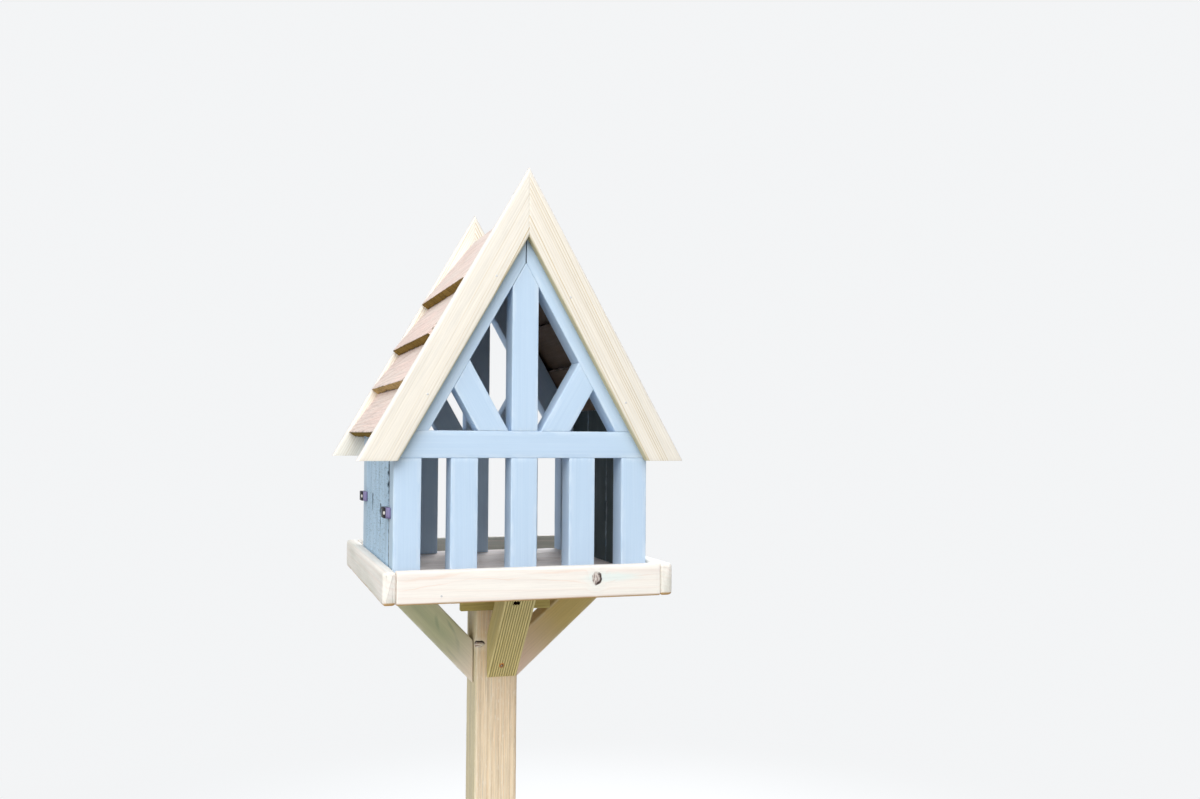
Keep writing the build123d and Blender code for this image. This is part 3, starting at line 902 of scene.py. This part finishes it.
def torn_edge(seed, butt):
    """Rough-sawn surface whose lower outer arris is chipped and torn."""
    base = rough_sawn(seed, fuzz=0.08)

    def dent(along, across, through, edge):
        depth = base(along, across, through, edge)
        near = (Vector((across, through)) - butt).length
        if near < TEAR_REACH:
            chips = random_at(along * 55 + seed * 3, 0.0, seed)
            long_tear = random_at(along * 14 + seed, 5.0, seed)
            bite = max(0.0, chips - 0.12) * 0.006 + max(0.0, long_tear - 0.2) * 0.005
            depth += bite * (1 - near / TEAR_REACH) ** 2
        return depth

    return dent


def roof_board(word, side, course):
    node = f"roof_board_{word}_{course}"
    name = f"{node}_piece"
    seed = seeded(name)
    low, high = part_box(node)
    down, out = slope_axes(side)
    origin = Vector((centre_x, low.y, low.z))
    section = [Vector((x - origin.x, origin.z - z)) for x, z in corners_of(node)]
    flat_down, flat_out = Vector((down.x, -down.z)), Vector((out.x, -out.z))
    butt = max(section, key=lambda p: p.dot(flat_down))

    # The butt takes the sawn cut colour; the underside takes the dark inner colour, painted shade.
    def facing(normal, place, along):
        return 1.0 if normal.dot(flat_down) > 0.7 else -1.0 if normal.dot(flat_out) < -0.7 else 0.0

    look = wood(name, {**ROOF, "pith": (0.3 * math.cos(seed), 0.1), **COURSES.get(course, {})})
    timber(name, section[::-1], Y, X, origin, [(low, Y)], [(high, Y)], look, node, "roof_wood",
           arris=SAWN_ARRIS, step=0.006, stride=0.0028, dent=torn_edge(seed, butt), side=facing)


def splits(seed, zones, along, across):
    """Depth of the cracks at a place on a board. Zones are (edge, from, to, reach, depth)."""
    depth = 0.0
    for place, low, high, reach, deep in zones:
        jagged = max(0.6, 0.8 + 0.8 * random_at(along * 105 + seed, place * 50, 1.0))
        taper = 0.35 + 0.65 * min(1.0, (along - low) / 0.02)
        near = abs(across - place)
        if near < reach * jagged * taper and low < along < high:
            fade = min(1.0, (along - low) / 0.006, (high - along) / 0.006)
            depth = max(depth, deep * fade * (1.0 - 0.3 * near / reach))
    return depth


def side_wall(word, side):
    node = f"side_wall_{word}"
    low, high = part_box(node)
    outer_x, inner_x = (high.x, low.x) if side > 0 else (low.x, high.x)
    outer_top, inner_top = (max(v.co.z for v in frame["nodes"][node].data.vertices if abs(v.co.x - x) < 1e-4)
                            for x in (outer_x, inner_x))
    cut = Vector((inner_x - outer_x, 0, inner_top - outer_top)).cross(Y)
    count = math.ceil((high.y - low.y) / (WALL_BOARD + WALL_GAP))
    for k in range(count):
        name = f"side_wall_{word}_board_{k + 1}"
        seed = seeded(name)
        y0 = low.y + k * (WALL_BOARD + WALL_GAP)
        width = min(WALL_BOARD, high.y - y0)
        here, ahead = WALL_CRACKS[(k + 1) % 2], WALL_CRACKS[k % 2]
        zones = [(0.0, *crack) for crack in ((CORNER_CRACK, CORNER_JOINT) if k == 0 else (here,))]
        if k < count - 1:
            zones.append((width, *ahead))
        sawn = rough_sawn(seed, 0.0004)

        def dent(along, across, through, edge):
            return sawn(along, across, through, edge) + splits(seed, zones, along, across)

        # The cracks are coloured near black as deep as they go, painted shade; the inner face takes the dark
        # inner colour.
        def dark(normal, place, along):
            inside = normal.y * side > 0.7
            return -1.0 if inside else min(1.0, splits(seed, zones, along, place.x) / CRACK_DARK)

        timber(name, rectangle((0, 0), (width, high.x - low.x)), Z, Y, Vector((high.x, y0, low.z)),
               [(low, Z)], [((outer_x, 0, outer_top), cut)], paint(name, WALL), node, "blue_paint",
               arris=SAWN_ARRIS, step=0.0024, stride=0.0022, dent=dent, side=dark)


# Tray and stand


def straight(name, node, low, high, grain, material, slot, **more):
    """A timber that fills a box, with the grain along one axis."""
    across = Y if abs(grain.y) < 0.5 else X
    through = grain.cross(across)
    ends = sorted((0.0, (high - low).dot(through)))
    corners = rectangle((0, ends[0]), ((high - low).dot(across), ends[1]))
    timber(name, corners, grain, across, low.copy(), [(low, grain)], [(high, grain)], material, node, slot,
           **more)


def tray_rails():
    looks = {"front": FRONT_RAIL, "rear": REAR_RAIL_PAINTED_SHADE}
    for word, grain in (("front", X), ("rear", X), ("left", Y), ("right", Y)):
        node = f"tray_rail_{word}"
        name = f"{node}_piece"
        if grain == X:
            down, arris, ease, dent = -1, RAIL_ARRIS, RAIL_END_EASE, planed(seeded(name), 0.0004)
        else:
            down, arris, ease, dent = 1, SIDE_RAIL_ARRIS, SIDE_RAIL_ARRIS, rough_sawn(seeded(name), 0.0005)

        # Downward faces take the rail's inner colour: painted shade.
        def underside(normal, place, along):
            return -min(1.0, max(0.0, down * normal.y - 0.2) / 0.45)

        straight(name, node, *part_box(node), grain, wood(name, looks.get(word, RAIL)), "pale_pine",
                 arris=arris, dent=dent, step=0.005, stride=0.007, ease=ease, side=underside,
                 focus=((RAIL_KNOT[0][0], RAIL_KNOT_FOCUS),) if word == "front" else ())
    low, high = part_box("tray_rail_front")
    place = Vector((low.x + RAIL_NAIL[0], low.y, low.z + RAIL_NAIL[1]))
    disc("nail_tray_rail_front", place, -Y, NAIL_RADIUS, head(**NAIL_HEAD), nail_steel)


def boards(node, count):
    """A floor of boards that run from side to side."""
    low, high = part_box(node)
    pitch_y = (high.y - low.y + BOARD_GAP) / count
    for k in range(count):
        name = f"{node}_board_{k + 1}"
        y0 = low.y + k * pitch_y
        end = Vector((high.x, y0 + pitch_y - BOARD_GAP, high.z))
        look = wood(name, {**FLOOR, "pith": (0.05, -0.05 - 0.03 * k)})
        straight(name, node, Vector((low.x, y0, low.z)), end, X, look, "floor_wood", arris=SAWN_ARRIS,
                 dent=rough_sawn(seeded(name)), step=0.01, stride=0.01)


def groove(place, width):
    """How deep a brace's reeding is at a place on its section, 0 to 1. The outer face lies at 0 across."""
    flat = REED_PITCH * math.floor((width - 0.004) / REED_PITCH) / 2
    if place.x > 0.0004 or abs(place.y) > flat:
        return 0.0
    return 0.5 - 0.5 * math.cos(2 * math.pi * (flat - place.y) / REED_PITCH)


def in_slot(place, along, margin=0.0):
    """Whether a place on a brace's section lies in the slot of its outer face, or within a margin of it."""
    middle, across, half_length, half_width, _ = BRACE_SLOT
    near = abs(along - middle) < half_length + margin and abs(place.y - across) < half_width + margin
    return near and place.x < 0.001


def in_hole(place, along, margin=0.0):
    """Whether a place on a brace's section lies in the hole of its screw, or within a margin of it."""
    away = math.hypot((along - BRACE_SCREW[0]) / HOLE_STRETCH, place.y - BRACE_SCREW[1])
    return away < HOLE_RADIUS + margin and place.x < 0.001


def reeded(seed, width, slotted):
    """Planed surface with rounded grooves along its outer face, a screw hole and perhaps a slot."""
    base = planed(seed, 0.0004)

    def dent(along, across, through, edge):
        place = Vector((across, through))
        if slotted and in_slot(place, along):
            return BRACE_SLOT[-1]
        if in_hole(place, along):
            return HOLE_DEPTH
        return base(along, across, through, edge) + REED_DEPTH * groove(place, width)

    return dent


def torn_ring(raised):
    """The heights of the torn wood round a screw hole, which falls away from the hole."""

    def height(x, y):
        outside = (math.hypot(x, y / HOLE_STRETCH) - TORN_INNER) / (TORN_RADIUS - TORN_INNER)
        return raised - TORN_FALL * outside ** 2

    return height


def brace(name, node, face, away, reach, seat_z, width, look, slotted=False):
    """A brace with its outer edge from the post's face at `face` to a level seat, and a screw near its foot.

    The slotted brace carries painted shade on its left side and in its slot, and has rougher wood round its
    screw. Every brace has painted shade in its grooves and screw hole.
    """
    rise = seat_z - face.z
    upward = Z if rise > 0 else -Z
    lean = (away * reach + Z * rise).normalized()
    inner = (upward * reach - away * abs(rise)).normalized()
    fine = REED_PITCH / REED_POINTS

    # Painted shade: near black in the hole and slot, and the inner colour on the slotted brace's left face
    # and in the grooves.
    def shade(normal, place, along):
        if in_hole(place, along, CUT_MARGIN) or slotted and in_slot(place, along, CUT_MARGIN):
            return 1.0
        if slotted and normal.y > 0.7:
            return -0.55
        return -groove(place, width) ** 2

    timber(name, rectangle((0, -width / 2), (BRACE_DEPTH, width / 2)), lean, inner, face,
           [(face + away * BRACE_GAP, away)], [((0, 0, seat_z), upward)], look, node, "treated_wood",
           arris=BRACE_ARRIS, step=(0.006, 0.006, 0.006, fine), stride=0.007, ease=BRACE_END_EASE,
           dent=reeded(seeded(name), width, slotted), side=shade,
           focus=((BRACE_SCREW[0], HOLE_FOCUS), (BRACE_SLOT[0], 2 * BRACE_SLOT[2])))
    place = face + lean * BRACE_SCREW[0] + lean.cross(inner) * BRACE_SCREW[1]
    raised = torn_ring(TORN_HEIGHT if slotted else 0.0)
    disc(f"torn_wood_{name}", place, -inner, TORN_RADIUS, raised, torn_wood, depth=TORN_FALL, hole=TORN_INNER,
         stretch=HOLE_STRETCH)
    place += inner * SCREW_DEPTH - lean * SCREW_DROP
    disc(f"screw_{name}", place, -inner, SCREW_RADIUS, head(**CROSS_HEAD), brace_screw)


def braces():
    looks = {"right": RIGHT_BRACE, "left": LEFT_BRACE}
    directions = {"right": X, "rear": Y, "left": -X, "front": -Y}
    half_post = (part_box("post")[1].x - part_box("post")[0].x) / 2
    for word, away in directions.items():
        node = f"brace_{word}"
        name = f"{node}_piece"
        low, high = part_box(node)
        middle = (low + high) / 2
        beside = away.cross(Z)
        face = away * half_post + beside * middle.dot(beside) + Z * low.z
        brace(name, node, face, away, abs((high - low).dot(away)), high.z, abs((high - low).dot(beside)),
              wood(name, looks.get(word, BRACE)), word == "front")
    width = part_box("brace_right")[1].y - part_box("brace_right")[0].y
    low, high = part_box("base_braces")
    for word, away in directions.items():
        name = f"base_brace_{word}"
        face = away * half_post + Z * high.z
        brace(name, "base_braces", face, away, high.x - half_post, low.z, width, wood(name, BRACE))


def knotted(seed):
    """The post's planed surface, with a raised knot that has shrunk away from the wood above it."""
    base = planed(seed, 0.0004)
    middle, radii, _ = POST_KNOT

    def dent(along, across, through, edge):
        depth = base(along, across, through, edge)
        away = Vector((along, across, through)) - Vector(middle)
        away = Vector(a / r for a, r in zip(away, radii))
        rim = max(0.0, 1.0 - abs(away.length - 0.95) / 0.25) * (0.15 + 0.85 * max(0.0, away.normalized().x))
        ragged = max(0.0, 0.7 + 0.7 * random_at(along * 300, across * 300, through * 300))
        raised = POST_KNOT_RAISED * max(0.0, 1.0 - away.length_squared)
        return depth + POST_KNOT_DEPTH * rim * ragged - raised

    return dent


def post_left_painted_shade(normal, place, along):
    """The post's left face is darker than the front: painted shade."""
    return -0.85 * max(0.0, normal.y)


def stand():
    low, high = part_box("post")
    depth = high.y - low.y
    straight("post_piece", "post", low, high, Z, wood("post_piece", POST), "post_wood", arris=POST_ARRIS,
             dent=knotted(POST["seed"]), step=0.003, stride=0.012, side=post_left_painted_shade,
             focus=((POST_KNOT[0][0], POST_KNOT_FOCUS),))
    low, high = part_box("head_cleats")
    thickness = (high.y - low.y - depth) / 2
    for word, y0 in (("front", low.y), ("rear", high.y - thickness)):
        name = f"head_cleat_{word}"
        straight(name, "head_cleats", Vector((low.x, y0, low.z)), Vector((high.x, y0 + thickness, high.z)), X,
                 wood(name, CLEAT), "treated_wood")
    for node, order in (("foot_across", "xyz"), ("foot_along", "yxz")):
        materials = frame["nodes"][node].data.materials
        materials.clear()
        materials.append(wood(f"{node}_wood", {**FOOT, "order": order, "seed": seeded(node)}))


def joining_block(name, node, low, high, side, look):
    """A moulded block with a sloped end towards the front that carries a painted sheen, and the head of its
    screw.
    """
    wall, outer = (low.x, high.x) if side > 0 else (high.x, low.x)
    rise = outer - wall
    length = high.y - low.y
    work = bmesh.new()
    outline = [(wall + rise * out, low.y + length * along) for along, out in BLOCK_PROFILE]
    lower, upper = ([work.verts.new((x, y, z)) for x, y in outline] for z in (low.z, high.z))
    count = len(BLOCK_PROFILE)
    for k in range(count):
        j = (k + 1) % count
        work.faces.new((lower[k], lower[j], upper[j], upper[k]))
    work.faces.new(lower)
    work.faces.new(upper[::-1])
    bmesh.ops.bevel(work, geom=list(work.edges), offset=BLOCK_ARRIS, segments=3, profile=0.6, affect="EDGES")
    mesh = bpy.data.meshes.new(name)
    work.to_mesh(mesh)
    work.free()
    sheen_end = low.y + length * BLOCK_PROFILE[2][0] + BLOCK_ARRIS / 4
    sheen_share = [1.0 if v.co.y < sheen_end else 0.0 for v in mesh.vertices]
    mesh.attributes.new("side", "FLOAT", "POINT").data.foreach_set("value", sheen_share)
    dressed(name, mesh, Matrix.Identity(4), look, node, "black_plastic")
    (first, thin), (last, thick) = BLOCK_PROFILE[2:4]
    slope = Vector((rise * (thick - thin), length * (last - first), 0))
    share = (BLOCK_SCREW - first) / (last - first)
    place = Vector((wall + rise * thin, low.y + length * first, (low.z + high.z) / 2)) + slope * share
    out = Vector((side * slope.y, -side * slope.x, 0))
    disc(f"screw_{name}", place, out, BLOCK_SCREW_RADIUS, head(**PAN_HEAD), bright_screw, depth=0.001)


def joining_blocks():
    look = plastic("black_plastic")
    for word, side in SIDES:
        node = f"joining_blocks_{word}"
        low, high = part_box(node)
        size = Vector((high.x - low.x, BLOCK_LENGTH, BLOCK_HEIGHT))
        for end, start in (("front", low), ("rear", high - size)):
            joining_block(f"joining_block_{word}_{end}", node, start, start + size, side, look)


# Set


def floor():
    """A wide sheet that fades into the backdrop, pale to the eye and duller where it lights the object."""
    tree = Tree(bpy.data.materials.new("studio_floor"))
    seen = tree.seen()
    tree.finish(tree.mix(seen, FLOOR_BOUNCE, FLOOR_SEEN), 0.9, None, specular=0.0)
    away = tree.vector("LENGTH", tree.add("ShaderNodeTexCoord", out=3))
    blend = tree.times(tree.between(away, *FLOOR_FADE), seen)
    glow = tree.add("ShaderNodeEmission", BACKDROP)
    choose = tree.add("ShaderNodeMixShader", blend, tree.shader.outputs[0], glow)
    tree.put(tree.nodes["Material Output"].inputs[0], choose)
    mesh = bpy.data.meshes.new("studio_floor")
    corners = rectangle((-FLOOR_HALF, -FLOOR_HALF), (FLOOR_HALF, FLOOR_HALF))
    mesh.from_pydata([(x, y, 0.0) for x, y in corners], [], [(0, 1, 2, 3)])
    mesh.materials.append(tree.owner)
    placed("studio_floor", mesh, Matrix.Translation((0, 0, -FLOOR_DROP)))


def world():
    """Soft light from all round, with a plain backdrop for what the camera and glossy surfaces see."""
    made = bpy.data.worlds.new("studio")
    bpy.context.scene.world = made
    tree = Tree(made)
    tree.nodes.clear()
    light = tree.add("ShaderNodeBackground", SKY, SKY_STRENGTH)
    backdrop = tree.add("ShaderNodeBackground", BACKDROP, 1.0)
    tree.node("ShaderNodeOutputWorld", tree.add("ShaderNodeMixShader", tree.seen(), light, backdrop))


def lamp(name, place, target, size, watts):
    data = bpy.data.lights.new(name, "AREA")
    data.shape = "RECTANGLE"
    data.size, data.size_y = size
    data.energy = watts
    turn = (Vector(target) - Vector(place)).to_track_quat("-Z", "Y").to_matrix().to_4x4()
    placed(name, data, Matrix.Translation(place) @ turn)


def camera():
    """The photograph's camera: level and facing +Y before it is turned, tilted and rolled."""
    data = bpy.data.cameras.new("camera")
    data.sensor_width = SENSOR_WIDTH
    data.lens = FOCAL_PIXELS / IMAGE_WIDTH * SENSOR_WIDTH
    turn = Matrix.Rotation(-CAMERA_YAW, 4, "Z") @ Matrix.Rotation(math.pi / 2 + CAMERA_PITCH, 4, "X")
    turn @= Matrix.Rotation(CAMERA_ROLL, 4, "Z")
    bpy.context.scene.camera = placed("camera", data, Matrix.Translation(CAMERA_PLACE) @ turn)


nail_steel = steel("nail_steel", NAIL_STEEL, 0.45)
brace_screw = steel("brace_screw", BRACE_STEEL, 0.35)
bright_screw = steel("bright_screw", BLOCK_STEEL, 0.3)
torn_wood = wood("torn_wood", TORN)

for end in ("front", "rear"):
    frame_members(end)
    bargeboards(end)
for word, side in SIDES:
    side_wall(word, side)
    for course in range(1, TOP_COURSE + 1):
        roof_board(word, side, course)
tray_rails()
boards("tray_floor", TRAY_BOARDS)
boards("house_floor", HOUSE_BOARDS)
braces()
stand()
joining_blocks()

floor()
world()
for settings in LAMPS:
    lamp(*settings)
camera()
bpy.context.scene.view_settings.view_transform = "Standard"
